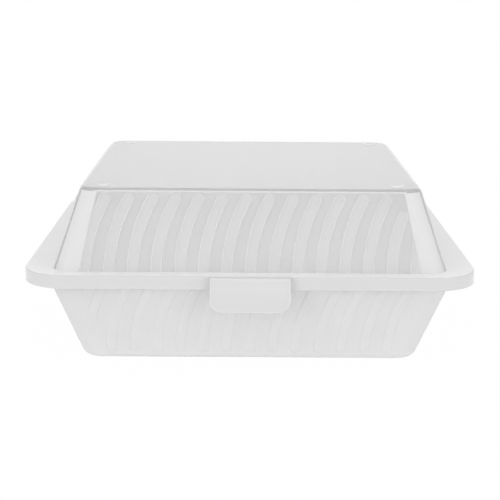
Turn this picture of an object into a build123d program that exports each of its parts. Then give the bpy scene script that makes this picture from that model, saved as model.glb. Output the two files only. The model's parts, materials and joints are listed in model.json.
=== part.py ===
from build123d import *
from math import asin, cos, radians, sin, tan
import os

# Hinged takeout box in thin moulded plastic, closed, standing on its foot.
# X runs to the right, Y to the hinge at the back and Z up. The origin is under the middle of the foot.
# All lengths are in millimetres.

# Rim shared by the two halves, whose flange is wider at the sides than at the front and back
side_flange_width = 11.57
end_flange_width = 5.27
rim_corner_radius = 23.4
wall = 1.6
seat_gap = 0.1

# Base, measured on its outside
base_height = 47.6
foot_width = 171.0
foot_depth = 177.0
base_draft_degrees = 19.9
base_corner_radius = 10.0
foot_edge_radius = 4.0
floor_edge_radius = 3.0
foot_ring_width = 6.0
foot_recess = 0.8
recess_corner_radius = 6.0
lip_depth = 3.6
lip_thickness = 1.5

# Lid, measured on its outside, whose dome starts a step inside the base's mouth
lid_height = 41.7
dome_step = 2.86
lid_draft_degrees = 17.9
lid_corner_radius = 10.0
crown_edge_radius = 2.2
skirt_height = 6.9
skirt_thickness = 1.5
rim_edge_bevel = 0.5
rim_clearance = 0.6
plug_depth = 2.0
plug_clearance = 0.6
plug_thickness = 1.5

# Snap tab on the lid, and the catch on the base that it snaps under
tab_width = 40.0
tab_height = 17.4
tab_reach = 3.3
tab_wall = 1.6
tab_step = 0.3
tab_corner_radius = 6.0
tab_edge_radius = 0.8
hook_width = 30.0
hook_height = 2.4
hook_tip_height = 0.8
hook_clearance = 0.4
catch_width = 35.0
catch_reach = 1.9

# Living hinge at the back
hinge_length = 150.0
hinge_reach = 3.3
web_thickness = 0.45
web_land = 1.3
web_ramp = 1.4
fold_gap = 0.05

# Stacking nubs on the lid, which sit inside the foot of the box above
nub_radius = 3.5
nub_height = 0.6
stack_clearance = 1.0

# Curved ribs on the outside of every wall, drawn in chords because there are many
rib_pitch = 11.8
rib_width = 5.9
rib_height = 0.6
rib_radius = 81.0
rib_chords = 4
rib_end_rise = 2.0
rib_end_share = 0.5
rib_root = 0.5
rib_rim_side_margin = 14.5
rib_far_side_margin = 9.5
rib_crown_margin = 5.0
rib_foot_margin = 7.0
least_rib_share = 0.25

# Heights that follow
lid_seat = base_height + seat_gap
rim_top = lid_seat + wall
skirt_bottom = rim_top - skirt_height
lid_top = lid_seat + lid_height
floor_height = foot_recess + wall
ceiling_height = lid_top - wall
lip_bottom = base_height - lip_depth
plug_bottom = base_height - plug_depth
tab_top = rim_top - tab_step
tab_bottom = tab_top - tab_height
hook_top = lip_bottom - hook_clearance

# Widths and depths that follow
base_spread = base_height * tan(radians(base_draft_degrees))
mouth_width = foot_width + 2 * base_spread
mouth_depth = foot_depth + 2 * base_spread
rim_width = mouth_width + 2 * side_flange_width
rim_depth = mouth_depth + 2 * end_flange_width
lid_spread = lid_height * tan(radians(lid_draft_degrees))
crown_width = mouth_width - 2 * (dome_step + lid_spread)
crown_depth = mouth_depth - 2 * (dome_step + lid_spread)

# Places along Y that follow
rim_back = rim_depth / 2
rim_front = -rim_depth / 2
fold_line = rim_back + hinge_reach
web_end = fold_line - fold_gap
tab_front = rim_front - tab_reach
tab_inside = tab_front + tab_wall
skirt_inside = rim_front + skirt_thickness
skirt_back = rim_back - rim_corner_radius
base_rim_front = skirt_inside + rim_clearance
catch_front = base_rim_front - catch_reach
hook_tip = catch_front - hook_clearance


def between(lower, upper, share):
    """Value at a share of the way from the lower to the upper one."""
    return lower + (upper - lower) * share


def outline(width, depth, corner_radius, height):
    """Rounded rectangle about the Z axis at a height."""
    return Pos(0, 0, height) * RectangleRounded(width, depth, corner_radius)


def block(x_span, y_span, z_span):
    """Box between the given ends on each axis."""
    spans = (x_span, y_span, z_span)
    size = [high - low for low, high in spans]
    centre = [(low + high) / 2 for low, high in spans]
    return Pos(*centre) * Box(*size)


def middle(length):
    """Ends of a length that is centred on zero."""
    return (-length / 2, length / 2)


def drafted_box(width, depth, height, draft_degrees, corner_radius):
    """Box with rounded corners that stands on its wide end and whose walls lean in by a draft."""
    body = extrude(Rectangle(width, depth), amount=height, taper=draft_degrees)
    return fillet(body.edges().filter_by(Plane.XY, reverse=True), corner_radius)


def base_body(bottom, inset):
    """Flared body of the base from its mouth down to a height, moved inwards by inset."""
    body = drafted_box(mouth_width - 2 * inset, mouth_depth - 2 * inset, base_height - bottom,
                       base_draft_degrees, base_corner_radius - inset)
    return Pos(0, 0, base_height) * Rot(180, 0, 0) * body


def lid_body(top, inset):
    """Domed body of the lid from its seat up to a height, moved inwards by inset."""
    step = dome_step + inset
    body = drafted_box(mouth_width - 2 * step, mouth_depth - 2 * step, top - lid_seat,
                       lid_draft_degrees, lid_corner_radius - inset)
    return Pos(0, 0, lid_seat) * body


def rim_outline(inset, height):
    """Outline of the lid's rim at a height, moved inwards by inset."""
    return outline(rim_width - 2 * inset, rim_depth - 2 * inset, rim_corner_radius - inset, height)


def base_rim_outline(inset):
    """Outline of the base's rim, which lies inside the lid's skirt and runs out to the hinge."""
    side_gap = skirt_thickness + rim_clearance
    depth = rim_back - base_rim_front
    rounded = outline(rim_width - 2 * side_gap - 2 * inset, depth - 2 * inset,
                      rim_corner_radius - side_gap - inset, base_height)
    return Pos(0, (rim_back + base_rim_front) / 2, 0) * rounded


def plug_outline(inset):
    """Outline of the lid's plug, which stands inside the base's mouth, moved inwards by inset."""
    gap = wall + plug_clearance + inset
    away = gap + base_spread * plug_depth / base_height
    return outline(mouth_width - 2 * away, mouth_depth - 2 * away, base_corner_radius - gap, plug_bottom)


def bar(points, length):
    """Outline in the YZ plane drawn out to a length that is centred on X."""
    return extrude(Plane.YZ * Polygon(*points, align=None), amount=length / 2, both=True)


def rib_face(start_x, start, end, rounded_low, rounded_high):
    """Flat outline of a rib that is upright at its lower end and curves to the right as it climbs."""
    turn = asin((end - start) / rib_radius)

    def point(side, share, rise):
        angle = turn * share
        radius = rib_radius + side * rib_width / 2
        return (start_x + rib_radius - radius * cos(angle) + rise * sin(angle),
                start + radius * sin(angle) + rise * cos(angle))

    shares = [step / rib_chords for step in range(rib_chords + 1)]
    points = [point(1, share, 0) for share in shares]
    if rounded_high:
        points += [point(rib_end_share, 1, rib_end_rise), point(-rib_end_share, 1, rib_end_rise)]
    points += [point(-1, share, 0) for share in reversed(shares)]
    if rounded_low:
        points += [point(-rib_end_share, 0, -rib_end_rise), point(rib_end_share, 0, -rib_end_rise)]
    return make_face(Polyline(*points, close=True))


def wall_ribs(lower_edge, low_half, high_half, slope, lean_degrees, span, rounded):
    """Ribs on the front wall, as a list of solids.

    lower_edge is the distance from the axis and the height of the wall's bottom edge, low_half and high_half
    are the half widths that the ribs may cover at its bottom and top, slope is its length up the lean,
    span is where the ribs start and end along that, and rounded says which of their ends are round.
    """
    panel_top = slope if rounded[1] else span[1]
    top_half = between(low_half, high_half, panel_top / slope)
    panel = make_face(Polyline((-low_half, 0), (low_half, 0), (top_half, panel_top), (-top_half, panel_top),
                               close=True))
    lean = radians(lean_degrees)
    outward = Vector(0, -cos(lean), sin(lean))
    root = Plane(origin=(0, -lower_edge[0], lower_edge[1]), x_dir=(1, 0, 0), z_dir=outward).offset(-rib_root)
    least_area = least_rib_share * rib_face(0, *span, *rounded).area
    count = int((max(low_half, high_half) + slope) / rib_pitch) + 1
    ribs = []
    for place in range(-count, count + 1):
        on_panel = rib_face(place * rib_pitch, *span, *rounded) & panel
        if on_panel is not None and on_panel.area > least_area:
            ribs.append(extrude(root * on_panel, amount=rib_root + rib_height, dir=outward))
    return ribs


def all_round(front_to_back, side_to_side, ribs_of_wall):
    """Ribs of the front and back walls, and then of the two side walls."""
    front_wall = ribs_of_wall(front_to_back / 2, side_to_side / 2)
    side_wall = ribs_of_wall(side_to_side / 2, front_to_back / 2)
    ribs = [Rot(0, 0, turn) * rib for turn in (0, 180) for rib in front_wall]
    return ribs + [Rot(0, 0, turn) * rib for turn in (90, 270) for rib in side_wall]


def base_ribs():
    """Ribs round the base, from above the foot up into the flange."""
    slope = base_height / cos(radians(base_draft_degrees))
    span = (rib_foot_margin, slope * (base_height - wall / 2) / base_height)

    def ribs_of_wall(distance, half):
        return wall_ribs((distance, 0), half - rib_far_side_margin, half + base_spread - rib_rim_side_margin,
                         slope, -base_draft_degrees, span, (True, False))

    return all_round(foot_depth, foot_width, ribs_of_wall)


def lid_ribs():
    """Ribs round the lid, from inside the flange up to the crown."""
    slope = lid_height / cos(radians(lid_draft_degrees))
    span = (slope * (wall / 2) / lid_height, slope - rib_crown_margin)

    def ribs_of_wall(distance, half):
        return wall_ribs((distance + lid_spread, lid_seat), half + lid_spread - rib_rim_side_margin,
                         half - rib_far_side_margin, slope, lid_draft_degrees, span, (False, True))

    return all_round(crown_depth, crown_width, ribs_of_wall)


def hinge_half(face_height, outer_height):
    """One half of the living hinge: the flange runs on backwards and thins to the web at the fold."""
    thinning = web_thickness if outer_height > face_height else -web_thickness
    web_height = face_height + thinning
    land_start = fold_line - web_land
    root = rim_back - lip_thickness
    return bar([(root, face_height), (web_end, face_height), (web_end, web_height), (land_start, web_height),
                (land_start - web_ramp, outer_height), (root, outer_height)], hinge_length)


def make_base():
    """Tray with its ribbed walls, recessed foot, flange, lip, catch and half of the hinge."""
    outside = base_body(0, 0)
    outside = fillet(outside.edges().group_by(Axis.Z)[0], foot_edge_radius)
    inside = base_body(floor_height, wall)
    inside = fillet(inside.edges().group_by(Axis.Z)[0], floor_edge_radius)
    flange = extrude(base_rim_outline(0), amount=-wall)
    lip = extrude(base_rim_outline(0) - base_rim_outline(lip_thickness), amount=-lip_depth)
    catch = block(middle(catch_width), (catch_front, base_rim_front + lip_thickness), (lip_bottom, base_height))
    hinge = hinge_half(base_height, base_height - wall)
    recess = extrude(outline(foot_width - 2 * foot_ring_width, foot_depth - 2 * foot_ring_width,
                             recess_corner_radius, 0), amount=foot_recess)
    return outside + [flange, lip, catch, hinge] + base_ribs() - inside - recess


def make_tab():
    """Snap tab: a hood that stands out from the skirt, with a front panel that hangs below it."""
    panel = Pos(0, (tab_top + tab_bottom) / 2) * Rectangle(tab_width, tab_height)
    panel = fillet(panel.vertices().group_by(Axis.Y)[0], tab_corner_radius)
    panel = extrude(Plane.XZ.offset(-tab_inside) * panel, amount=tab_wall)
    hood = block(middle(tab_width), (tab_front, skirt_inside), (skirt_bottom, tab_top))
    tab = panel + hood
    top_edge = tab.edges().filter_by(Axis.X).group_by(Axis.Z)[-1].sort_by(Axis.Y)[0]
    return fillet(top_edge, tab_edge_radius)


def make_hook():
    """Bead on the back of the tab, just under the base's catch."""
    return bar([(tab_inside, hook_top), (hook_tip, hook_top), (hook_tip, hook_top - hook_tip_height),
                (tab_inside, hook_top - hook_height)], hook_width)


def make_nubs():
    """Four low buttons near the corners of the lid's top."""
    from_edge = foot_ring_width + stack_clearance + nub_radius
    away_x = foot_width / 2 - from_edge
    away_y = foot_depth / 2 - from_edge
    nub = Cylinder(nub_radius, nub_height, align=(Align.CENTER, Align.CENTER, Align.MIN))
    return [Pos(x, y, lid_top) * nub for x in (-away_x, away_x) for y in (-away_y, away_y)]


def make_lid():
    """Domed lid with its ribbed walls, flange, skirt, sealing plug, tab, nubs and half of the hinge."""
    outside = lid_body(lid_top, 0)
    outside = fillet(outside.edges().group_by(Axis.Z)[-1], crown_edge_radius)
    inside = lid_body(ceiling_height, wall)
    flange = extrude(rim_outline(0, lid_seat), amount=wall)
    flange = chamfer(flange.edges().group_by(Axis.Z)[-1], rim_edge_bevel)
    skirt = extrude(rim_outline(0, skirt_bottom) - rim_outline(skirt_thickness, skirt_bottom),
                    amount=lid_seat - skirt_bottom)
    skirt &= block(middle(rim_width), (rim_front, skirt_back), (skirt_bottom, lid_seat))
    plug = extrude(plug_outline(0) - plug_outline(plug_thickness), amount=lid_seat - plug_bottom)
    behind_tab = block(middle(tab_width - 2 * tab_wall), (tab_inside, skirt_inside), (skirt_bottom, lid_seat))
    hinge = hinge_half(lid_seat, rim_top)
    shell = outside + [flange, skirt, make_tab(), hinge] + lid_ribs() + make_nubs()
    return shell - inside - behind_tab + [plug, make_hook()]


os.makedirs("parts", exist_ok=True)
for name, node in (("base", make_base()), ("lid", make_lid())):
    export_step(node, f"parts/{name}.step")
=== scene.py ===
import json
import math
from collections import namedtuple

import bmesh
import bpy
from bpy.props import FloatProperty, FloatVectorProperty, IntProperty, PointerProperty, StringProperty
from mathutils import Matrix, Vector


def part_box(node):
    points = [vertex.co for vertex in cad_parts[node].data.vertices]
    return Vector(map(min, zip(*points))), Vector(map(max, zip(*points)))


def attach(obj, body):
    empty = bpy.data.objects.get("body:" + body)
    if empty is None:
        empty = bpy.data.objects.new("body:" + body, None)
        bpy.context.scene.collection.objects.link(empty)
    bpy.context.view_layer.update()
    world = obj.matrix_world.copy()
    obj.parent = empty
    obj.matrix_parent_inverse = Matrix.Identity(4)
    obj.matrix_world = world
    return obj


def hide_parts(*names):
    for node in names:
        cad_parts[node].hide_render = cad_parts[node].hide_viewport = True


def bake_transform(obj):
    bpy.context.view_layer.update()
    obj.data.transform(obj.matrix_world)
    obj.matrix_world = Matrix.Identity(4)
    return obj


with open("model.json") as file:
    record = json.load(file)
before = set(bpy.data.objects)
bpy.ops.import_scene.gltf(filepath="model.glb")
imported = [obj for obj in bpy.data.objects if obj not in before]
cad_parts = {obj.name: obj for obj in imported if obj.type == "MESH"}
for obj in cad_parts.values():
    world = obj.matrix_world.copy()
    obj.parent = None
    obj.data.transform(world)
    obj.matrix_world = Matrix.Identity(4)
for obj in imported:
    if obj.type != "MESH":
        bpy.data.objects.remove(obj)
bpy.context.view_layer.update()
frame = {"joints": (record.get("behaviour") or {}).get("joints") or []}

bl_info = {
    "name": "Hinged Takeout Box",
    "version": (1, 0, 0),
    "blender": (4, 5, 0),
    "location": "3D View > Sidebar > Takeout Box",
    "description": "Builds a milky hinged takeout box with ribbed walls, and a plain white stage for it",
    "category": "Object",
}

MM = 0.001
WHITE = (1.0, 1.0, 1.0, 1.0)

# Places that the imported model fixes
base_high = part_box("base")[1]
lid_low, lid_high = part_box("lid")
fold_line = frame["joints"][0]["pos_m"][1]
fold_height = frame["joints"][0]["pos_m"][2]

# How finely round shapes are drawn
CORNER_STEPS = 14
EDGE_STEPS = 6
SOFT_EDGE_STEPS = 3
RIB_STEPS = 16
RIB_END_STEPS = 14
NUB_STEPS = 40

# Order of the finishes in every piece's material slots
FINISHES = ("polished", "lit_satin", "plain", "ribbed", "etched", "rim", "base")
POLISHED, LIT_SATIN, PLAIN, RIBBED, ETCHED, RIM, BASE = range(len(FINISHES))

# How far a cutting block stands past what it cuts
OVERRUN = 1.0 * MM

# Distances within which points count as one: places, points of a finished piece and points of a rib
TINY = 0.001 * MM
WELD = 0.002 * MM
RIB_WELD = 0.01 * MM

# Angle between two faces from which their edge is drawn sharp
SHARP_ANGLE = math.radians(35.0)

# Most upward part of the normal of a face that counts as upright
UPRIGHT_SHARE = 0.5

# Steps in which a rib that would run past its panel is shortened
RIB_TRIALS = 200

# Axes by number, and the upward direction
WIDTH, DEPTH, HEIGHT = range(3)
UP = (0.0, 0.0, 1.0)

# Pairs of opposite walls: name, axis across them, axis along them and turns from the front wall
WALL_PAIRS = (
    ("front", DEPTH, WIDTH, (0.0, math.pi)),
    ("side", WIDTH, DEPTH, (math.pi / 2, -math.pi / 2)),
)

# Ribbed part of such a pair: where the front wall's foot lies and how far it leans, the half widths at foot
# and top, the length of the slope, the stretch of it that the ribs climb, and the turns
Panel = namedtuple("Panel", "foot halves slope span turns")


def length(name, description, millimetres):
    """Length property that is given in millimetres and kept in metres."""
    return FloatProperty(name=name, description=description, default=millimetres * MM,
                         unit="LENGTH", precision=5)


def angle(name, description, degrees):
    """Angle property that is given in degrees and kept in radians."""
    return FloatProperty(name=name, description=description, default=math.radians(degrees), subtype="ANGLE")


def share(name, description, value):
    """Property for a share between none and all."""
    return FloatProperty(name=name, description=description, default=value,
                         min=0.0, max=1.0, subtype="FACTOR")


def place(name, description, millimetres):
    """Point property that is given in millimetres and kept in metres."""
    metres = [value * MM for value in millimetres]
    return FloatVectorProperty(name=name, description=description, default=metres, unit="LENGTH", precision=5)


def light(name, values):
    """Property for what a finish does with light."""
    description = "Share of light let through, share spread to the other side, and roughness"
    return FloatVectorProperty(name=name, description=description, default=values, min=0.0, max=1.0)


def colour(name, description, value):
    """Property for an sRGB hex colour."""
    return StringProperty(name=name, description=description, default=value)


class TakeoutSizes(bpy.types.PropertyGroup):
    """Sizes of the box's two shells."""

    wall: length("Wall", "Thickness of walls, floor, top and flanges", 1.6)
    foot_width: length("Foot width", "Outside width of the base at the bottom", 171.0)
    foot_depth: length("Foot depth", "Outside depth of the base at the bottom", 177.0)
    base_draft: angle("Base draft", "Lean of the base's walls", 19.9)
    base_corner: length("Base corner", "Radius of the base's upright corners", 10.0)
    foot_edge: length("Foot edge", "Radius round the bottom of the base", 4.0)
    floor_edge: length("Floor edge", "Radius where the floor meets the walls inside", 3.0)
    foot_ring: length("Foot ring", "Width of the ring that the box stands on", 6.0)
    foot_recess: length("Foot recess", "Depth of the hollow inside the ring", 0.8)
    recess_corner: length("Recess corner", "Corner radius of the hollow under the foot", 6.0)
    lip_depth: length("Lip depth", "Height of the base's turned down lip", 3.6)
    lip_thickness: length("Lip thickness", "Thickness of the base's lip", 1.5)
    seat_gap: length("Seat gap", "Gap between the two closed flanges", 0.1)
    rim_corner: length("Rim corner", "Corner radius of the lid's rim", 23.4)
    rim_clearance: length("Rim clearance", "Gap between the lid's skirt and the base's lip", 0.6)
    dome_step: length("Dome step", "How far the dome starts inside the base's mouth", 2.86)
    lid_height: length("Lid height", "Height of the dome above its seat", 41.7)
    lid_draft: angle("Lid draft", "Lean of the dome's walls", 17.9)
    lid_corner: length("Lid corner", "Radius of the dome's upright corners", 10.0)
    crown_edge: length("Crown edge", "Radius round the top of the dome", 2.2)
    crown_share: share("Crown share", "Least upward part of the normal of a face of the top", 0.62)
    turn_start: share("Turn start", "Sideways part of the normal where a corner's polished edge starts", 0.76)
    turn_end: share("Turn end", "Sideways part of the normal where a corner's polished edge ends", 0.95)
    # Faces of the rim below this share, its rounded top edge among them, keep the darker rim grey, painted
    # shade that dims the edge's highlight
    level_share: share("Level share", "Least part of a normal up or down for a level face of the rim", 0.9)
    flat_share: share("Flat share", "Least part of a normal along an axis for a face square to it", 0.98)
    ceiling_edge: length("Ceiling edge", "Radius where the ceiling meets the walls inside", 1.2)
    skirt_height: length("Skirt height", "Height of the lid's skirt from the rim's top", 6.9)
    skirt_thickness: length("Skirt thickness", "Thickness of the lid's skirt", 1.5)
    plug_depth: length("Plug depth", "How far the sealing plug stands into the base", 2.0)
    plug_root: length("Plug root", "How far the sealing plug is set into the lid's flange", 0.8)
    bore_root: length("Bore root", "How far the plug's bore runs up into the lid's flange", 0.4)
    plug_clearance: length("Plug clearance", "Gap round the sealing plug", 0.6)
    plug_thickness: length("Plug thickness", "Thickness of the sealing plug", 1.5)
    soft_edge: length("Soft edge", "Rounding of the moulded rims", 0.5)
    small_edge: length("Small edge", "Rounding of inner and lower rims", 0.3)
    nub_radius: length("Nub radius", "Radius of a stacking nub", 3.5)
    nub_from_edge: length("Nub from edge", "Distance of a nub's middle inside the foot's outline", 10.5)
    nub_edge: length("Nub edge", "Rounding of a nub's top", 0.55)


class TakeoutRibs(bpy.types.PropertyGroup):
    """Sizes of the curved ribs on the walls."""

    pitch: length("Pitch", "Distance between neighbouring ribs", 11.8)
    width: length("Width", "Width of a rib", 5.9)
    height: length("Height", "How far a rib stands out", 0.6)
    root: length("Root", "How deep the lid's ribs are set into the wall", 0.5)
    edge: length("Edge", "Rounding of the outer edges of the lid's ribs", 0.5)
    base_root: length("Base root", "How deep the base's ribs are set into the wall", 1.3)
    base_edge: length("Base edge", "Rounding of the outer edges of the base's ribs", 1.5)
    radius: length("Radius", "Radius of a rib's curve", 81.0)
    rim_margin: length("Rim margin", "Plain width beside the ribs at the rim", 14.5)
    far_margin: length("Far margin", "Plain width beside the ribs away from the rim", 9.5)
    crown_margin: length("Crown margin", "Slope length above the middle of a rib's round top", 5.0)
    foot_margin: length("Foot margin", "Slope length below the middle of a rib's round foot", 7.0)
    panel_margin: length("Panel margin", "Slope length between a ribbed panel and the crown", 1.8)
    panel_edge: length("Panel edge", "Width of a panel beside the ribs that are cut off there", 0.15)
    panel_root: length("Panel root", "How deep a panel is set into the wall", 0.3)
    panel_rise: length("Panel rise", "How far a ribbed panel's etched face stands out", 0.05)
    flank_share: share("Flank share", "Most part of a normal out of the wall on a rib's flank", 0.9)
    least_share: share("Least share", "Shortest rib with its own round end, as a share of a whole one", 0.25)


class TakeoutTab(bpy.types.PropertyGroup):
    """Sizes of the snap tab and of the catch behind it."""

    width: length("Width", "Width of the tab", 40.0)
    height: length("Height", "Height of the tab", 17.4)
    wall: length("Wall", "Thickness of the tab", 1.6)
    step: length("Step", "How far the tab's top lies under the rim's top", 0.3)
    corner: length("Corner", "Radius of the tab's lower corners", 6.0)
    edge: length("Edge", "Rounding of the tab's outer edges", 0.6)
    hood_inset: length("Hood inset", "How far the tab's hood lies inside the tab's outline", 0.05)
    hook_width: length("Hook width", "Width of the snap bead behind the tab", 30.0)
    hook_height: length("Hook height", "Height of the snap bead", 2.4)
    hook_tip: length("Hook tip", "Height of the snap bead's tip", 0.8)
    hook_clearance: length("Hook clearance", "Gap between snap bead and catch", 0.4)
    catch_width: length("Catch width", "Width of the catch on the base", 35.0)
    catch_reach: length("Catch reach", "How far the catch stands out of the base's lip", 1.9)


class TakeoutHinge(bpy.types.PropertyGroup):
    """Sizes of the living hinge."""

    length: length("Length", "Length of the hinge along the back", 150.0)
    reach: length("Reach", "Distance of the fold behind the rim", 3.3)
    web: length("Web", "Thickness of the web beside the fold", 0.45)
    land: length("Land", "Width of the web on each side of the fold", 1.3)
    ramp: length("Ramp", "Width over which the flange thins to the web", 1.4)
    gap: length("Gap", "Distance of each web's end from the fold", 0.05)


class TakeoutFinish(bpy.types.PropertyGroup):
    """Colours of the plastic's finishes, and what they do with light."""

    polished: colour("Polished", "Colour of the lid's top and of the hinge, from a polished mould", "FCFCFC")
    polished_light: light("Polished light", (0.77, 0.0, 0.15))
    # The flange's lighter colour is painted light: it brightens the flange's level faces against the shade
    # that the dome casts on them, and the nubs' sides with them
    lit_satin: colour("Satin", "Colour of the lid's flange and of the nubs' sides", "F6F6F6")
    lit_satin_light: light("Satin light", (0.05, 0.0, 0.4))
    # On the tab's edges this grey is a painted highlight, lighter than the grey of the tab's face
    plain: colour("Plain", "Colour of the lid's plain corners, rib flanks and tab edges", "E1E1E1")
    plain_light: light("Plain light", (0.08, 0.0, 0.15))
    ribbed: colour("Ribbed", "Colour of the lid's ribs", "FAFAFA")
    ribbed_light: light("Ribbed light", (0.54, 0.1, 0.38))
    etched: colour("Etched", "Colour between the lid's ribs, from an etched mould", "F8F8F8")
    etched_light: light("Etched light", (0.6, 0.1, 0.44))
    # On the rim's rounded top edge this darker grey is also painted shade that dims the edge's highlight
    rim: colour("Rim", "Colour of the lid's skirt and tab", "DCDCDC")
    rim_light: light("Rim light", (0.15, 0.0, 0.15))
    base: colour("Base", "Colour of the base and of the lid's inside", "FCFCFC")
    base_light: light("Base light", (0.03, 0.6, 0.15))
    grain_depth: length("Grain depth", "Depth of the mould's fine grain", 0.03)
    cloud: length("Cloud", "Size of the faint clouds in the milky plastic", 28.0)
    cloud_share: share("Cloud share", "Brightness that is left in the densest cloud", 0.98)
    grain: length("Grain", "Size of the mould's fine grain, drawn coarse enough to show", 0.9)
    grain_spread: share("Grain spread", "How far the grain varies the roughness each way", 0.04)
    grain_strength: share("Grain strength", "How strongly the grain tilts the light", 0.1)
    ior: FloatProperty(name="IOR", description="Index of refraction of polypropylene", default=1.49)


class TakeoutStage(bpy.types.PropertyGroup):
    """Floor, lights and camera."""

    floor: colour("Floor", "Pale floor", "FAFAFA")
    floor_size: length("Floor size", "Half of the floor's width", 8000.0)
    floor_glow: share("Floor glow", "Part of the floor that is lit from inside, as seen", 0.97)
    floor_light: share("Floor light", "Part of the floor that is lit from inside, as it lights the box", 0.85)
    sky: share("Sky", "Strength of the studio's even light", 0.92)
    dusk: share("Dusk", "Strength of the seen surroundings on the viewer's side", 0.15)
    dusk_start: share("Dusk start", "Backward part of a view where the surroundings start to darken", 0.93)
    dusk_end: share("Dusk end", "Backward part of a view where the surroundings are darkest", 0.75)
    key_power: FloatProperty(name="Key power", description="Power of each softbox in watts", default=2.5)
    key_size: length("Key size", "Width of a softbox", 350.0)
    key_place: place("Key place", "Middle of the right softbox", (900.0, -900.0, 350.0))
    aim: place("Aim", "Point that the softboxes face", (0.0, 0.0, 50.0))
    eye: place("Eye", "Camera's place before it is turned round the box", (0.407, -741.109, 201.903))
    pitch: angle("Pitch", "How far the camera looks down", 12.448)
    roll: angle("Roll", "How far the camera is rolled", 0.4756)
    yaw: angle("Yaw", "How far the camera is turned round the box", -0.3438)
    lens: FloatProperty(name="Lens", description="Focal length in millimetres", default=94.64)
    sensor: FloatProperty(name="Sensor", description="Sensor width in millimetres", default=36.0)
    bounces: IntProperty(name="Bounces", description="Times that light is followed through the walls",
                         default=40)
    diffuse_bounces: IntProperty(name="Diffuse bounces", description="Times that scattered light is followed",
                                 default=10)


def linear(hex_colour):
    """Linear RGBA of an sRGB hex colour, by the curve of the sRGB standard."""
    channels = [int(hex_colour[start:start + 2], 16) / 255 for start in (0, 2, 4)]
    curve = [value / 12.92 if value <= 0.04045 else ((value + 0.055) / 1.055) ** 2.4 for value in channels]
    return curve + [1.0]


def add_node(tree, kind, settings=None, inputs=None, links=None):
    """Adds a node, sets its settings and input values, and links its inputs to other nodes' outputs."""
    node = tree.nodes.new(kind)
    for name, value in (settings or {}).items():
        setattr(node, name, value)
    for name, value in (inputs or {}).items():
        node.inputs[name].default_value = value
    for name, output in (links or {}).items():
        tree.links.new(output, node.inputs[name])
    return node


def milky_polypropylene(name, hex_colour, clearness, milk, roughness):
    """Injection moulded milky polypropylene: it lets blurred light through and shines softly.

    Clearness is the share of light that goes through, milk the share that is spread to the other side.
    """
    finish = bpy.context.scene.takeout_finish
    material = bpy.data.materials.new(name)
    material.use_nodes = True
    tree = material.node_tree
    tree.nodes.clear()
    where = add_node(tree, "ShaderNodeTexCoord").outputs["Object"]
    clouds = add_node(tree, "ShaderNodeTexNoise", inputs={"Scale": 1.0 / finish.cloud},
                      links={"Vector": where})
    plain = linear(hex_colour)
    dense = [channel * finish.cloud_share for channel in plain[:3]] + plain[3:]
    tint = add_node(tree, "ShaderNodeMixRGB", inputs={"Color1": plain, "Color2": dense},
                    links={"Fac": clouds.outputs["Fac"]})
    grain = add_node(tree, "ShaderNodeTexNoise", inputs={"Scale": 1.0 / finish.grain},
                     links={"Vector": where})
    gloss = add_node(tree, "ShaderNodeMapRange",
                     inputs={"To Min": roughness - finish.grain_spread,
                             "To Max": roughness + finish.grain_spread},
                     links={"Value": grain.outputs["Fac"]})
    bump = add_node(tree, "ShaderNodeBump",
                    inputs={"Strength": finish.grain_strength, "Distance": finish.grain_depth},
                    links={"Height": grain.outputs["Fac"]})
    surface = add_node(tree, "ShaderNodeBsdfPrincipled",
                       inputs={"IOR": finish.ior, "Transmission Weight": clearness},
                       links={"Base Color": tint.outputs["Color"], "Roughness": gloss.outputs["Result"],
                              "Normal": bump.outputs["Normal"]})
    spread = add_node(tree, "ShaderNodeBsdfTranslucent", links={"Color": tint.outputs["Color"]})
    body = add_node(tree, "ShaderNodeMixShader", inputs={0: milk},
                    links={1: surface.outputs["BSDF"], 2: spread.outputs["BSDF"]})
    add_node(tree, "ShaderNodeOutputMaterial", links={"Surface": body.outputs["Shader"]})
    return material


def plastic_finishes():
    """The plastic's finishes in slot order, made once."""
    finish = bpy.context.scene.takeout_finish
    made = []
    for kind in FINISHES:
        name = kind + "_polypropylene"
        values = (getattr(finish, kind), *getattr(finish, kind + "_light"))
        made.append(bpy.data.materials.get(name) or milky_polypropylene(name, *values))
    return made


def soften(bm, edges, radius, steps):
    """Rounds edges of a mesh."""
    bmesh.ops.bevel(bm, geom=edges, offset=radius, offset_type="OFFSET", segments=steps, profile=0.5,
                    affect="EDGES", clamp_overlap=True, material=-1)


def verts_of(items):
    """The vertices among the items that a mesh operator gives back."""
    return [item for item in items if isinstance(item, bmesh.types.BMVert)]


def edges_at(bm, place, axis=HEIGHT):
    """Edges of a mesh that lie in the plane across an axis at a place."""
    return [edge for edge in bm.edges if all(abs(vert.co[axis] - place) < TINY for vert in edge.verts)]


def draw_out(bm, faces, move):
    """Draws flat faces out into closed blocks."""
    drawn = bmesh.ops.extrude_face_region(bm, geom=faces, use_keep_orig=True)
    bmesh.ops.translate(bm, vec=move, verts=verts_of(drawn["geom"]))


def block(low, high):
    """Plain block between two corners."""
    bm = bmesh.new()
    bmesh.ops.create_cube(bm, size=1.0)
    size = Vector(high) - Vector(low)
    bmesh.ops.scale(bm, vec=size, verts=bm.verts)
    bmesh.ops.translate(bm, vec=(Vector(high) + Vector(low)) / 2, verts=bm.verts)
    return bm


def bar(section, width):
    """Bar across the box whose section is given as places in depth and height."""
    bm = bmesh.new()
    face = bm.faces.new([bm.verts.new((-width / 2, y, z)) for y, z in section])
    draw_out(bm, [face], (width, 0.0, 0.0))
    return bm


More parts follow.
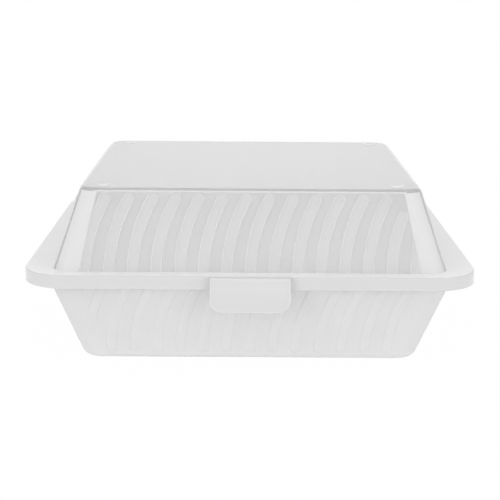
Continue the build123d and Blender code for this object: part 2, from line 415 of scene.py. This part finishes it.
def rounded_block(lower, upper, corner, middle_y=0.0):
    """Block with rounded upright edges between two levels, each a half width, a half depth and a height."""
    bm = bmesh.new()
    bmesh.ops.create_cube(bm, size=2.0)
    for vert in bm.verts:
        half_width, half_depth, height = upper if vert.co.z > 0.0 else lower
        vert.co = (vert.co.x * half_width, vert.co.y * half_depth + middle_y, height)
    upright = [edge for edge in bm.edges if abs(edge.verts[0].co.z - edge.verts[1].co.z) > TINY]
    soften(bm, upright, corner, CORNER_STEPS)
    return bm


def hollow_under(bm, bottom, thickness, roof):
    """Hollows a block from below up to a height, and leaves a wall round it."""
    under = [face for face in bm.faces if all(abs(vert.co.z - bottom) < TINY for vert in face.verts)]
    bmesh.ops.inset_region(bm, faces=under, thickness=thickness, use_even_offset=True)
    raised = bmesh.ops.extrude_face_region(bm, geom=under)
    bmesh.ops.delete(bm, geom=under, context="FACES_ONLY")
    bmesh.ops.translate(bm, vec=(0.0, 0.0, roof - bottom), verts=verts_of(raised["geom"]))


def piece_from(name, bm, finish=POLISHED):
    """Object of a closed mesh with the plastic's finishes, all in one of them unless that is None."""
    bmesh.ops.recalc_face_normals(bm, faces=bm.faces)
    if finish is not None:
        for face in bm.faces:
            face.material_index = finish
    mesh = bpy.data.meshes.new(name)
    bm.to_mesh(mesh)
    bm.free()
    for material in plastic_finishes():
        mesh.materials.append(material)
    piece = bpy.data.objects.new(name, mesh)
    bpy.context.scene.collection.objects.link(piece)
    return piece


def refinish(piece, finish, wanted):
    """Gives another finish to the faces of a piece whose normals are wanted."""
    for face in piece.data.polygons:
        if wanted(face.normal):
            face.material_index = finish


def combine(piece, operation, others):
    """Joins other closed pieces to a piece or cuts them out of it, and uses them up."""
    for other in others:
        step = piece.modifiers.new("combine", "BOOLEAN")
        step.operation = operation
        step.solver = "EXACT"
        step.object = other
    bpy.context.view_layer.update()
    made = bpy.data.meshes.new_from_object(piece.evaluated_get(bpy.context.evaluated_depsgraph_get()))
    piece.modifiers.clear()
    piece.data = made
    for other in others:
        bpy.data.objects.remove(other)


def finish_piece(piece, body, *nodes):
    """Cleans a piece's mesh, shades it and ties it to its body and the nodes that it stands for."""
    bm = bmesh.new()
    bm.from_mesh(piece.data)
    bmesh.ops.remove_doubles(bm, verts=bm.verts, dist=WELD)
    bmesh.ops.dissolve_degenerate(bm, edges=bm.edges, dist=WELD)
    for face in bm.faces:
        face.smooth = True
    closed = all(edge.is_manifold for edge in bm.edges)
    bm.to_mesh(piece.data)
    bm.free()
    if not closed:
        raise RuntimeError(piece.name + " is not a closed mesh")
    piece.data.name = piece.name
    piece.data.set_sharp_from_angle(angle=SHARP_ANGLE)
    even = piece.modifiers.new("even_shading", "WEIGHTED_NORMAL")
    even.keep_sharp = True
    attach(piece, body)
    if nodes:
        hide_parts(*nodes)


def rib_middle(start_x, start, turn):
    """Place on a flat wall of a rib's middle line after a turn along its curve."""
    radius = bpy.context.scene.takeout_ribs.radius
    return start_x + radius * (1.0 - math.cos(turn)), start + radius * math.sin(turn)


def half_at(panel, place):
    """Half width of a panel at a place up its wall."""
    low, high = panel.halves
    return low + (high - low) * place / panel.slope


def rib_outline(bm, start_x, start, turn, round_low, round_high):
    """Flat outline of one rib on a wall: upright at its lower end, curving to the right as it climbs."""
    ribs = bpy.context.scene.takeout_ribs
    half = ribs.width / 2
    across = [bm.verts.new((start_x + side * half, start, 0.0)) for side in (-1, 0, 1)]
    row = [bm.edges.new(across[:2]), bm.edges.new(across[1:])]
    if round_low:
        bmesh.ops.spin(bm, geom=[across[1], across[2], row[1]], cent=across[1].co, axis=UP,
                       angle=-math.pi, steps=RIB_END_STEPS)
    swept = bmesh.ops.spin(bm, geom=across + row, cent=(start_x + ribs.radius, start, 0.0), axis=UP,
                           angle=-turn, steps=RIB_STEPS)
    if round_high:
        last = verts_of(swept["geom_last"])
        centre = Vector((*rib_middle(start_x, start, turn), 0.0))
        middle = min(last, key=lambda vert: (vert.co - centre).length)
        right = max(last, key=lambda vert: vert.co.x)
        edge = bm.edges.get((middle, right))
        bmesh.ops.spin(bm, geom=[middle, right, edge], cent=middle.co, axis=UP,
                       angle=math.pi, steps=RIB_END_STEPS)


def reach_of_rib(start_x, panel):
    """Turn of a rib's curve before the panel's right side stops it, and the turn of a whole rib."""
    ribs = bpy.context.scene.takeout_ribs
    start, end = panel.span
    whole = math.asin((end - start) / ribs.radius)
    for trial in range(RIB_TRIALS, 0, -1):
        turn = whole * trial / RIB_TRIALS
        x, y = rib_middle(start_x, start, turn)
        if x + ribs.width / 2 <= half_at(panel, y):
            return turn, whole
    return 0.0, whole


def onto_wall(bm, distance, height, lean):
    """Moves what is drawn flat onto the front wall, whose bottom edge lies at a distance and a height."""
    upward = Vector((0.0, math.sin(lean), math.cos(lean)))
    outward = Vector((0.0, -math.cos(lean), math.sin(lean)))
    turned = Matrix(((1.0, 0.0, 0.0, 0.0), (0.0, upward.y, outward.y, 0.0),
                     (0.0, upward.z, outward.z, 0.0), (0.0, 0.0, 0.0, 1.0)))
    bmesh.ops.transform(bm, matrix=Matrix.Translation((0.0, -distance, height)) @ turned, verts=bm.verts)


def round_the_box(bm, turns):
    """Turns a front wall's shapes to the first of two opposite walls and copies them to the second."""
    first = bm.verts[:] + bm.edges[:] + bm.faces[:]
    copied = bmesh.ops.duplicate(bm, geom=first)
    apart = Matrix.Rotation(turns[1] - turns[0], 3, "Z")
    bmesh.ops.rotate(bm, cent=(0.0, 0.0, 0.0), matrix=apart, verts=verts_of(copied["geom"]))
    bmesh.ops.rotate(bm, cent=(0.0, 0.0, 0.0), matrix=Matrix.Rotation(turns[0], 3, "Z"), verts=bm.verts)


def flat_panel(panel, low, high, depth, rise):
    """Trapezium of a panel between two places up its wall, as thick as its depth and rise."""
    bm = bmesh.new()
    corners = []
    for place, sides in ((low, (-1, 1)), (high, (1, -1))):
        corners += [bm.verts.new((side * half_at(panel, place), place, -depth)) for side in sides]
    draw_out(bm, [bm.faces.new(corners)], (0.0, 0.0, depth + rise))
    return bm


def flat_ribs(panel, rounded, root, edge):
    """Ribs of one wall, drawn flat with their backs set into it and their outer edges rounded."""
    ribs = bpy.context.scene.takeout_ribs
    bm = bmesh.new()
    count = int(max(panel.halves) / ribs.pitch) + 1
    for place in range(-count, count + 1):
        start_x = place * ribs.pitch
        turn, whole = reach_of_rib(start_x, panel)
        short = whole * ribs.least_share <= turn < whole
        rib_outline(bm, start_x, panel.span[0], turn if short else whole, rounded[0], rounded[1] or short)
    bmesh.ops.remove_doubles(bm, verts=bm.verts, dist=RIB_WELD)
    bmesh.ops.dissolve_degenerate(bm, edges=bm.edges, dist=RIB_WELD)
    draw_out(bm, bm.faces[:], (0.0, 0.0, root + ribs.height))
    bmesh.ops.translate(bm, vec=(0.0, 0.0, -root), verts=bm.verts)
    bmesh.ops.recalc_face_normals(bm, faces=bm.faces)
    rims = [item for item in edges_at(bm, ribs.height)
            if any(abs(face.normal.z) < UPRIGHT_SHARE for face in item.link_faces)]
    soften(bm, rims, edge, EDGE_STEPS)
    return bm


def wall_ribs(name, panel, top, rounded, root, edge, finish, flank):
    """Ribs of two opposite walls, cut off at the sides of their panel and at a place up the wall."""
    ribs = bpy.context.scene.takeout_ribs
    bars = piece_from(name, flat_ribs(panel, rounded, root, edge), finish)
    refinish(bars, flank, lambda normal: abs(normal.z) < ribs.flank_share)
    limits = flat_panel(panel, 0.0, top, root + OVERRUN, ribs.height + OVERRUN)
    combine(bars, "INTERSECT", [piece_from(name + "_limits", limits, finish)])
    bm = bmesh.new()
    bm.from_mesh(bars.data)
    bpy.data.objects.remove(bars)
    onto_wall(bm, *panel.foot)
    round_the_box(bm, panel.turns)
    return piece_from(name, bm, None)


def wall_panels(name, panel, finish):
    """Faintly raised panels under the ribs of two opposite walls, from an etched part of the mould."""
    ribs = bpy.context.scene.takeout_ribs
    wider = panel._replace(halves=[half + ribs.panel_edge for half in panel.halves])
    bm = flat_panel(wider, panel.span[0] / 2, panel.slope - ribs.panel_margin,
                    ribs.panel_root, ribs.panel_rise)
    onto_wall(bm, *panel.foot)
    round_the_box(bm, panel.turns)
    return piece_from(name, bm, finish)


class Levels:
    """Heights, half sizes and places that follow from the sizes and the frame."""

    def __init__(self):
        sizes = bpy.context.scene.takeout_sizes
        tab = bpy.context.scene.takeout_tab
        hinge = bpy.context.scene.takeout_hinge
        self.base_top = base_high.z
        self.lid_seat = self.base_top + sizes.seat_gap
        self.rim_top = self.lid_seat + sizes.wall
        self.lid_top = self.lid_seat + sizes.lid_height
        self.floor = sizes.foot_recess + sizes.wall
        self.ceiling = self.lid_top - sizes.wall
        self.skirt_bottom = self.rim_top - sizes.skirt_height
        self.lip_bottom = self.base_top - sizes.lip_depth
        self.plug_bottom = self.base_top - sizes.plug_depth
        self.base_spread = self.base_top * math.tan(sizes.base_draft)
        self.lid_spread = sizes.lid_height * math.tan(sizes.lid_draft)
        self.foot = (sizes.foot_width / 2, sizes.foot_depth / 2)
        self.mouth = tuple(half + self.base_spread for half in self.foot)
        self.dome = tuple(half - sizes.dome_step for half in self.mouth)
        self.crown = tuple(half - self.lid_spread for half in self.dome)
        self.rim_back = fold_line - hinge.reach
        self.rim = (lid_high.x, self.rim_back)
        self.skirt_inside = -self.rim_back + sizes.skirt_thickness
        self.base_rim_front = self.skirt_inside + sizes.rim_clearance
        self.base_rim = (base_high.x, (self.rim_back - self.base_rim_front) / 2)
        self.base_rim_middle = (self.rim_back + self.base_rim_front) / 2
        self.tab_front = lid_low.y
        self.tab_inside = self.tab_front + tab.wall
        self.tab_top = self.rim_top - tab.step
        self.tab_bottom = self.tab_top - tab.height
        self.catch_front = self.base_rim_front - tab.catch_reach
        self.hook_tip = self.catch_front - tab.hook_clearance
        self.hook_top = self.lip_bottom - tab.hook_clearance


def at(halves, height, inset=0.0):
    """Half width, half depth and height of one level of a block, moved inwards by inset."""
    return (halves[0] - inset, halves[1] - inset, height)


def corner_offset(radius, draft):
    """Distance from a leaning upright edge at which a fillet of a radius starts."""
    return radius * math.tan(math.acos(math.sin(draft) ** 2) / 2)


def hinge_strap(name, level, face_height, outer_height):
    """One half of the living hinge: the flange runs on backwards and thins to the web at the fold."""
    sizes = bpy.context.scene.takeout_sizes
    hinge = bpy.context.scene.takeout_hinge
    direction = 1.0 if outer_height > face_height else -1.0
    web_height = face_height + direction * hinge.web
    land_start = fold_line - hinge.land
    root = level.rim_back - sizes.lip_thickness
    end = fold_line - hinge.gap
    section = [(root, face_height), (end, face_height), (end, web_height), (land_start, web_height),
               (land_start - hinge.ramp, outer_height), (root, outer_height)]
    return piece_from(name, bar(section, hinge.length))


def base_ribs(level):
    """Ribs round the base, from above the foot up into the flange."""
    sizes = bpy.context.scene.takeout_sizes
    ribs = bpy.context.scene.takeout_ribs
    slope = level.base_top / math.cos(sizes.base_draft)
    top = slope * (level.base_top - sizes.wall / 2) / level.base_top
    made = []
    for name, across, along, turns in WALL_PAIRS:
        foot = (level.foot[across], 0.0, -sizes.base_draft)
        halves = (level.foot[along] - ribs.far_margin, level.mouth[along] - ribs.rim_margin)
        panel = Panel(foot, halves, slope, (ribs.foot_margin, slope), turns)
        made.append(wall_ribs("base_ribs_" + name, panel, top, (True, False), ribs.base_root, ribs.base_edge,
                              BASE, BASE))
    return made


def lid_ribs(level):
    """Ribs round the lid and the panels under them, from inside the flange up to the crown."""
    sizes = bpy.context.scene.takeout_sizes
    ribs = bpy.context.scene.takeout_ribs
    slope = sizes.lid_height / math.cos(sizes.lid_draft)
    span = (slope * (sizes.wall / 2) / sizes.lid_height, slope - ribs.crown_margin)
    made = []
    for name, across, along, turns in WALL_PAIRS:
        foot = (level.dome[across], level.lid_seat, sizes.lid_draft)
        halves = (level.dome[along] - ribs.rim_margin, level.crown[along] - ribs.far_margin)
        panel = Panel(foot, halves, slope, span, turns)
        made.append(wall_panels("lid_panels_" + name, panel, ETCHED))
        made.append(wall_ribs("lid_ribs_" + name, panel, slope, (False, True), ribs.root, ribs.edge,
                              RIBBED, PLAIN))
    return made


class TAKEOUT_OT_base(bpy.types.Operator):
    """Builds the base: ribbed tray, recessed foot, flange with its lip, catch and half of the hinge"""

    bl_idname = "takeout.make_base"
    bl_label = "Make Base"

    def execute(self, context):
        sizes = context.scene.takeout_sizes
        tab = context.scene.takeout_tab
        level = Levels()
        offset = corner_offset(sizes.base_corner, sizes.base_draft)
        outside = rounded_block(at(level.foot, 0.0), at(level.mouth, level.base_top), offset)
        soften(outside, edges_at(outside, 0.0), sizes.foot_edge, EDGE_STEPS)
        base = piece_from("base_shell", outside, BASE)

        # Flange with its lip, catch, hinge and ribs
        side_gap = sizes.skirt_thickness + sizes.rim_clearance
        rim = rounded_block(at(level.base_rim, level.lip_bottom), at(level.base_rim, level.base_top),
                            sizes.rim_corner - side_gap, level.base_rim_middle)
        soften(rim, edges_at(rim, level.base_top), sizes.soft_edge, SOFT_EDGE_STEPS)
        hollow_under(rim, level.lip_bottom, sizes.lip_thickness, level.base_top - sizes.wall)
        soften(rim, edges_at(rim, level.lip_bottom), sizes.small_edge, SOFT_EDGE_STEPS)
        catch_back = level.base_rim_front + sizes.lip_thickness
        catch = block((-tab.catch_width / 2, level.catch_front, level.lip_bottom),
                      (tab.catch_width / 2, catch_back, level.base_top - sizes.small_edge))
        soften(catch, edges_at(catch, level.catch_front, DEPTH), sizes.small_edge, SOFT_EDGE_STEPS)
        strap = hinge_strap("base_strap", level, level.base_top, level.base_top - sizes.wall)
        joined = [piece_from("base_rim", rim, BASE), piece_from("base_catch", catch, BASE), strap]
        combine(base, "UNION", joined + base_ribs(level))

        # Hollow inside, and recess under the foot
        slack = OVERRUN * math.tan(sizes.base_draft)
        floor_spread = level.floor * math.tan(sizes.base_draft)
        floor = tuple(half + floor_spread for half in level.foot)
        inside = rounded_block(at(floor, level.floor, sizes.wall),
                               at(level.mouth, level.base_top + OVERRUN, sizes.wall - slack),
                               corner_offset(sizes.base_corner - sizes.wall, sizes.base_draft))
        soften(inside, edges_at(inside, level.floor), sizes.floor_edge, EDGE_STEPS)
        recess = rounded_block(at(level.foot, -OVERRUN, sizes.foot_ring),
                               at(level.foot, sizes.foot_recess, sizes.foot_ring), sizes.recess_corner)
        soften(recess, edges_at(recess, sizes.foot_recess), sizes.small_edge, SOFT_EDGE_STEPS)
        combine(base, "DIFFERENCE", [piece_from("base_inside", inside, BASE),
                                     piece_from("base_recess", recess, BASE)])
        finish_piece(base, "base", "base")
        return {"FINISHED"}


class TAKEOUT_OT_lid(bpy.types.Operator):
    """Builds the lid: ribbed dome, flange and skirt, sealing plug, snap tab, nubs and half of the hinge"""

    bl_idname = "takeout.make_lid"
    bl_label = "Make Lid"

    def execute(self, context):
        sizes = context.scene.takeout_sizes
        tab = context.scene.takeout_tab
        level = Levels()
        offset = corner_offset(sizes.lid_corner, sizes.lid_draft)
        outside = rounded_block(at(level.dome, level.lid_seat), at(level.crown, level.lid_top), offset)
        soften(outside, edges_at(outside, level.lid_top), sizes.crown_edge, EDGE_STEPS)
        lid = piece_from("lid_shell", outside, PLAIN)
        refinish(lid, POLISHED, lambda normal: normal.z > sizes.crown_share)
        refinish(lid, POLISHED, lambda normal: sizes.turn_start < abs(normal.x) < sizes.turn_end)

        # Flange with its skirt, which leaves the hinge free at the back
        rim = rounded_block(at(level.rim, level.skirt_bottom), at(level.rim, level.rim_top), sizes.rim_corner)
        soften(rim, edges_at(rim, level.rim_top), sizes.soft_edge, SOFT_EDGE_STEPS)
        hollow_under(rim, level.skirt_bottom, sizes.skirt_thickness, level.lid_seat)
        soften(rim, edges_at(rim, level.skirt_bottom), sizes.small_edge, SOFT_EDGE_STEPS)
        rim = piece_from("lid_rim", rim, RIM)
        # Level faces of the flange take the lighter colour, painted light against the shade that the dome
        # casts on them
        refinish(rim, LIT_SATIN, lambda normal: abs(normal.z) > sizes.level_share)
        skirt_back = level.rim_back - sizes.rim_corner
        behind = block((-level.rim[0] - OVERRUN, skirt_back, level.skirt_bottom - OVERRUN),
                       (level.rim[0] + OVERRUN, level.rim_back + OVERRUN, level.lid_seat))
        combine(rim, "DIFFERENCE", [piece_from("behind_skirt", behind)])

        # Sealing plug, hinge, tab, nubs and ribs
        plug_away = sizes.wall + sizes.plug_clearance + sizes.plug_depth * math.tan(sizes.base_draft)
        plug_corner = sizes.base_corner - sizes.wall - sizes.plug_clearance
        plug = rounded_block(at(level.mouth, level.plug_bottom, plug_away),
                             at(level.mouth, level.lid_seat + sizes.plug_root, plug_away), plug_corner)
        soften(plug, edges_at(plug, level.plug_bottom), sizes.small_edge, SOFT_EDGE_STEPS)
        strap = hinge_strap("lid_strap", level, level.lid_seat, level.rim_top)
        joined = [rim, piece_from("lid_plug", plug, BASE), strap, *self.tab_pieces(level), self.nubs(level)]
        combine(lid, "UNION", joined + lid_ribs(level))

        # Hollow inside, bore of the plug, and room for the catch behind the tab
        ceiling_spread = (level.ceiling - level.lid_seat) * math.tan(sizes.lid_draft)
        ceiling = tuple(half - ceiling_spread for half in level.dome)
        inside = rounded_block(at(level.dome, level.lid_seat, sizes.wall),
                               at(ceiling, level.ceiling, sizes.wall),
                               corner_offset(sizes.lid_corner - sizes.wall, sizes.lid_draft))
        soften(inside, edges_at(inside, level.ceiling), sizes.ceiling_edge, EDGE_STEPS)
        bore_away = plug_away + sizes.plug_thickness
        bore = rounded_block(at(level.mouth, level.plug_bottom - OVERRUN, bore_away),
                             at(level.mouth, level.lid_seat + sizes.bore_root, bore_away),
                             plug_corner - sizes.plug_thickness)
        behind_tab = block((-tab.width / 2 + tab.wall, level.tab_inside, level.skirt_bottom - OVERRUN),
                           (tab.width / 2 - tab.wall, level.skirt_inside + OVERRUN, level.lid_seat))
        combine(lid, "DIFFERENCE", [piece_from("lid_inside", inside, BASE),
                                    piece_from("lid_bore", bore, BASE),
                                    piece_from("behind_tab", behind_tab)])
        combine(lid, "UNION", [self.hook(level)])
        finish_piece(lid, "lid", "lid")
        return {"FINISHED"}

    def tab_pieces(self, level):
        """Front panel of the snap tab and the hood that carries it."""
        sizes = bpy.context.scene.takeout_sizes
        tab = bpy.context.scene.takeout_tab
        panel = block((-tab.width / 2, level.tab_front, level.tab_bottom),
                      (tab.width / 2, level.tab_inside, level.tab_top))
        lower = [edge for edge in edges_at(panel, level.tab_bottom)
                 if abs(edge.verts[0].co.y - edge.verts[1].co.y) > TINY]
        soften(panel, lower, tab.corner, CORNER_STEPS)
        soften(panel, edges_at(panel, level.tab_front, DEPTH), tab.edge, SOFT_EDGE_STEPS)
        half = tab.width / 2 - tab.hood_inset
        hood = block((-half, (level.tab_front + level.tab_inside) / 2, level.skirt_bottom + tab.hood_inset),
                     (half, level.skirt_inside - sizes.skirt_thickness / 2, level.tab_top - tab.hood_inset))
        made = [piece_from("tab", panel, RIM), piece_from("tab_hood", hood, RIM)]
        for piece in made:
            # The tab's edges take the plain grey, lighter than the rim grey of its face: a painted highlight
            # along them
            refinish(piece, PLAIN, lambda normal: abs(normal.y) < sizes.flat_share)
        return made

    def hook(self, level):
        """Bead behind the tab that snaps under the base's catch."""
        tab = bpy.context.scene.takeout_tab
        inside = level.tab_inside - tab.wall / 2
        section = [(inside, level.hook_top), (level.hook_tip, level.hook_top),
                   (level.hook_tip, level.hook_top - tab.hook_tip),
                   (level.tab_inside, level.hook_top - tab.hook_height),
                   (inside, level.hook_top - tab.hook_height)]
        return piece_from("tab_hook", bar(section, tab.hook_width))

    def nubs(self, level):
        """Four low round nubs near the corners of the lid's top."""
        sizes = bpy.context.scene.takeout_sizes
        away = [half - sizes.nub_from_edge for half in level.foot]
        bottom = level.ceiling + sizes.wall / 2
        bm = bmesh.new()
        for side_x in (-1, 1):
            for side_y in (-1, 1):
                middle = (side_x * away[0], side_y * away[1], (lid_high.z + bottom) / 2)
                bmesh.ops.create_cone(bm, cap_ends=True, segments=NUB_STEPS, radius1=sizes.nub_radius,
                                      radius2=sizes.nub_radius, depth=lid_high.z - bottom,
                                      matrix=Matrix.Translation(middle))
        soften(bm, edges_at(bm, lid_high.z), sizes.nub_edge, SOFT_EDGE_STEPS)
        nubs = piece_from("lid_nubs", bm)
        # The nubs' sides take the lighter flange colour, painted light on them
        refinish(nubs, LIT_SATIN, lambda normal: normal.z < sizes.flat_share)
        return nubs


class TAKEOUT_OT_hinge_film(bpy.types.Operator):
    """Builds the thin film that joins the two halves at the fold"""

    bl_idname = "takeout.make_hinge_film"
    bl_label = "Make Hinge Film"

    def execute(self, context):
        sizes = context.scene.takeout_sizes
        hinge = context.scene.takeout_hinge
        end = fold_line - hinge.gap
        half = sizes.seat_gap / 2 + hinge.web / 2
        film = block((-hinge.length / 2 + hinge.ramp, end - hinge.land / 2, fold_height - half),
                     (hinge.length / 2 - hinge.ramp, end, fold_height + half))
        film = piece_from("hinge_film", film)
        for face in film.data.polygons:
            face.use_smooth = False
        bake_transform(film)
        return {"FINISHED"}


class TAKEOUT_OT_stage(bpy.types.Operator):
    """Sets up the white floor, the soft studio lights, the world and the camera"""

    bl_idname = "takeout.make_stage"
    bl_label = "Make Stage"

    def execute(self, context):
        stage = context.scene.takeout_stage
        self.floor(stage)
        for name, side in (("left_softbox", -1.0), ("right_softbox", 1.0)):
            self.softbox(name, Vector(stage.key_place) * Vector((side, 1.0, 1.0)), stage)
        self.world(stage)
        self.camera(stage)
        context.scene.view_settings.view_transform = "Standard"
        cycles = context.scene.cycles
        cycles.max_bounces = stage.bounces
        cycles.transmission_bounces = stage.bounces
        cycles.glossy_bounces = stage.bounces
        cycles.diffuse_bounces = stage.diffuse_bounces
        return {"FINISHED"}

    def floor(self, stage):
        """White floor that is partly lit from inside, like a light table, and keeps the box's shadow."""
        bm = bmesh.new()
        bmesh.ops.create_grid(bm, x_segments=1, y_segments=1, size=stage.floor_size)
        mesh = bpy.data.meshes.new("floor")
        bm.to_mesh(mesh)
        bm.free()
        floor = bpy.data.objects.new("floor", mesh)
        bpy.context.scene.collection.objects.link(floor)
        material = bpy.data.materials.new("pale_floor")
        material.use_nodes = True
        tree = material.node_tree
        tree.nodes.clear()
        paint = add_node(tree, "ShaderNodeBsdfDiffuse", inputs={"Color": linear(stage.floor)})
        glow = add_node(tree, "ShaderNodeEmission", inputs={"Color": WHITE, "Strength": 1.0})
        lit = add_node(tree, "ShaderNodeMapRange",
                       inputs={"To Min": stage.floor_light, "To Max": stage.floor_glow},
                       links={"Value": self.seen(tree)})
        mixed = add_node(tree, "ShaderNodeMixShader",
                         links={0: lit.outputs["Result"], 1: paint.outputs["BSDF"],
                                2: glow.outputs["Emission"]})
        add_node(tree, "ShaderNodeOutputMaterial", links={"Surface": mixed.outputs["Shader"]})
        mesh.materials.append(material)

    def seen(self, tree):
        """Output that is one for what the camera sees directly, in gloss or through the plastic."""
        path = add_node(tree, "ShaderNodeLightPath")
        shine = add_node(tree, "ShaderNodeMath", {"operation": "MAXIMUM"},
                         links={0: path.outputs["Is Camera Ray"], 1: path.outputs["Is Glossy Ray"]})
        through = add_node(tree, "ShaderNodeMath", {"operation": "MAXIMUM"},
                           links={0: shine.outputs["Value"], 1: path.outputs["Is Transmission Ray"]})
        return through.outputs["Value"]

    def softbox(self, name, middle, stage):
        """Soft square light that faces the box and stays out of the picture."""
        data = bpy.data.lights.new(name, "AREA")
        data.size = stage.key_size
        data.energy = stage.key_power
        lamp = bpy.data.objects.new(name, data)
        lamp.location = middle
        lamp.rotation_euler = (Vector(stage.aim) - middle).to_track_quat("-Z", "Y").to_euler()
        lamp.visible_camera = False
        bpy.context.scene.collection.objects.link(lamp)

    def world(self, stage):
        """White surroundings: full where they are seen behind the box, darker on the viewer's side."""
        world = bpy.data.worlds.new("white_studio")
        bpy.context.scene.world = world
        world.use_nodes = True
        tree = world.node_tree
        tree.nodes.clear()
        where = add_node(tree, "ShaderNodeTexCoord").outputs["Generated"]
        parts = add_node(tree, "ShaderNodeSeparateXYZ", links={"Vector": where})
        behind = add_node(tree, "ShaderNodeMapRange",
                          inputs={"From Min": stage.dusk_end, "From Max": stage.dusk_start,
                                  "To Min": stage.dusk, "To Max": 1.0},
                          links={"Value": parts.outputs["Y"]})
        strength = add_node(tree, "ShaderNodeMapRange", inputs={"To Min": stage.sky},
                            links={"Value": self.seen(tree), "To Max": behind.outputs["Result"]})
        white = add_node(tree, "ShaderNodeBackground", inputs={"Color": WHITE},
                         links={"Strength": strength.outputs["Result"]})
        add_node(tree, "ShaderNodeOutputWorld", links={"Surface": white.outputs["Background"]})

    def camera(self, stage):
        """Camera that was fitted to the outlines in the photo."""
        data = bpy.data.cameras.new("camera")
        data.sensor_fit = "HORIZONTAL"
        data.sensor_width = stage.sensor
        data.lens = stage.lens
        camera = bpy.data.objects.new("camera", data)
        camera.matrix_world = (Matrix.Rotation(stage.yaw, 4, "Z") @ Matrix.Translation(stage.eye)
                               @ Matrix.Rotation(math.pi / 2 - stage.pitch, 4, "X")
                               @ Matrix.Rotation(stage.roll, 4, "Z"))
        bpy.context.scene.collection.objects.link(camera)
        bpy.context.scene.camera = camera


class TAKEOUT_PT_panel(bpy.types.Panel):
    """Lists the box's sizes and its pieces"""

    bl_idname = "TAKEOUT_PT_panel"
    bl_label = "Takeout Box"
    bl_space_type = "VIEW_3D"
    bl_region_type = "UI"
    bl_category = "Takeout Box"

    def draw(self, context):
        for operator in PIECE_OPERATORS:
            self.layout.operator(operator.bl_idname)
        for name in PROPERTY_GROUPS:
            group = getattr(context.scene, name)
            self.layout.label(text=group.bl_rna.name)
            for key in group.__annotations__:
                self.layout.prop(group, key)


PROPERTY_GROUPS = {
    "takeout_sizes": TakeoutSizes,
    "takeout_ribs": TakeoutRibs,
    "takeout_tab": TakeoutTab,
    "takeout_hinge": TakeoutHinge,
    "takeout_finish": TakeoutFinish,
    "takeout_stage": TakeoutStage,
}
PIECE_OPERATORS = (TAKEOUT_OT_base, TAKEOUT_OT_lid, TAKEOUT_OT_hinge_film, TAKEOUT_OT_stage)


def register():
    """Adds the properties, operators and panel to Blender."""
    for name, group in PROPERTY_GROUPS.items():
        bpy.utils.register_class(group)
        setattr(bpy.types.Scene, name, PointerProperty(type=group))
    for operator in PIECE_OPERATORS:
        bpy.utils.register_class(operator)
    bpy.utils.register_class(TAKEOUT_PT_panel)


def unregister():
    """Takes the panel, operators and properties out of Blender."""
    bpy.utils.unregister_class(TAKEOUT_PT_panel)
    for operator in reversed(PIECE_OPERATORS):
        bpy.utils.unregister_class(operator)
    for name, group in PROPERTY_GROUPS.items():
        delattr(bpy.types.Scene, name)
        bpy.utils.unregister_class(group)


def main():
    """Builds the box and its stage."""
    register()
    bpy.ops.takeout.make_base()
    bpy.ops.takeout.make_lid()
    bpy.ops.takeout.make_hinge_film()
    bpy.ops.takeout.make_stage()


if __name__ == "__main__":
    main()
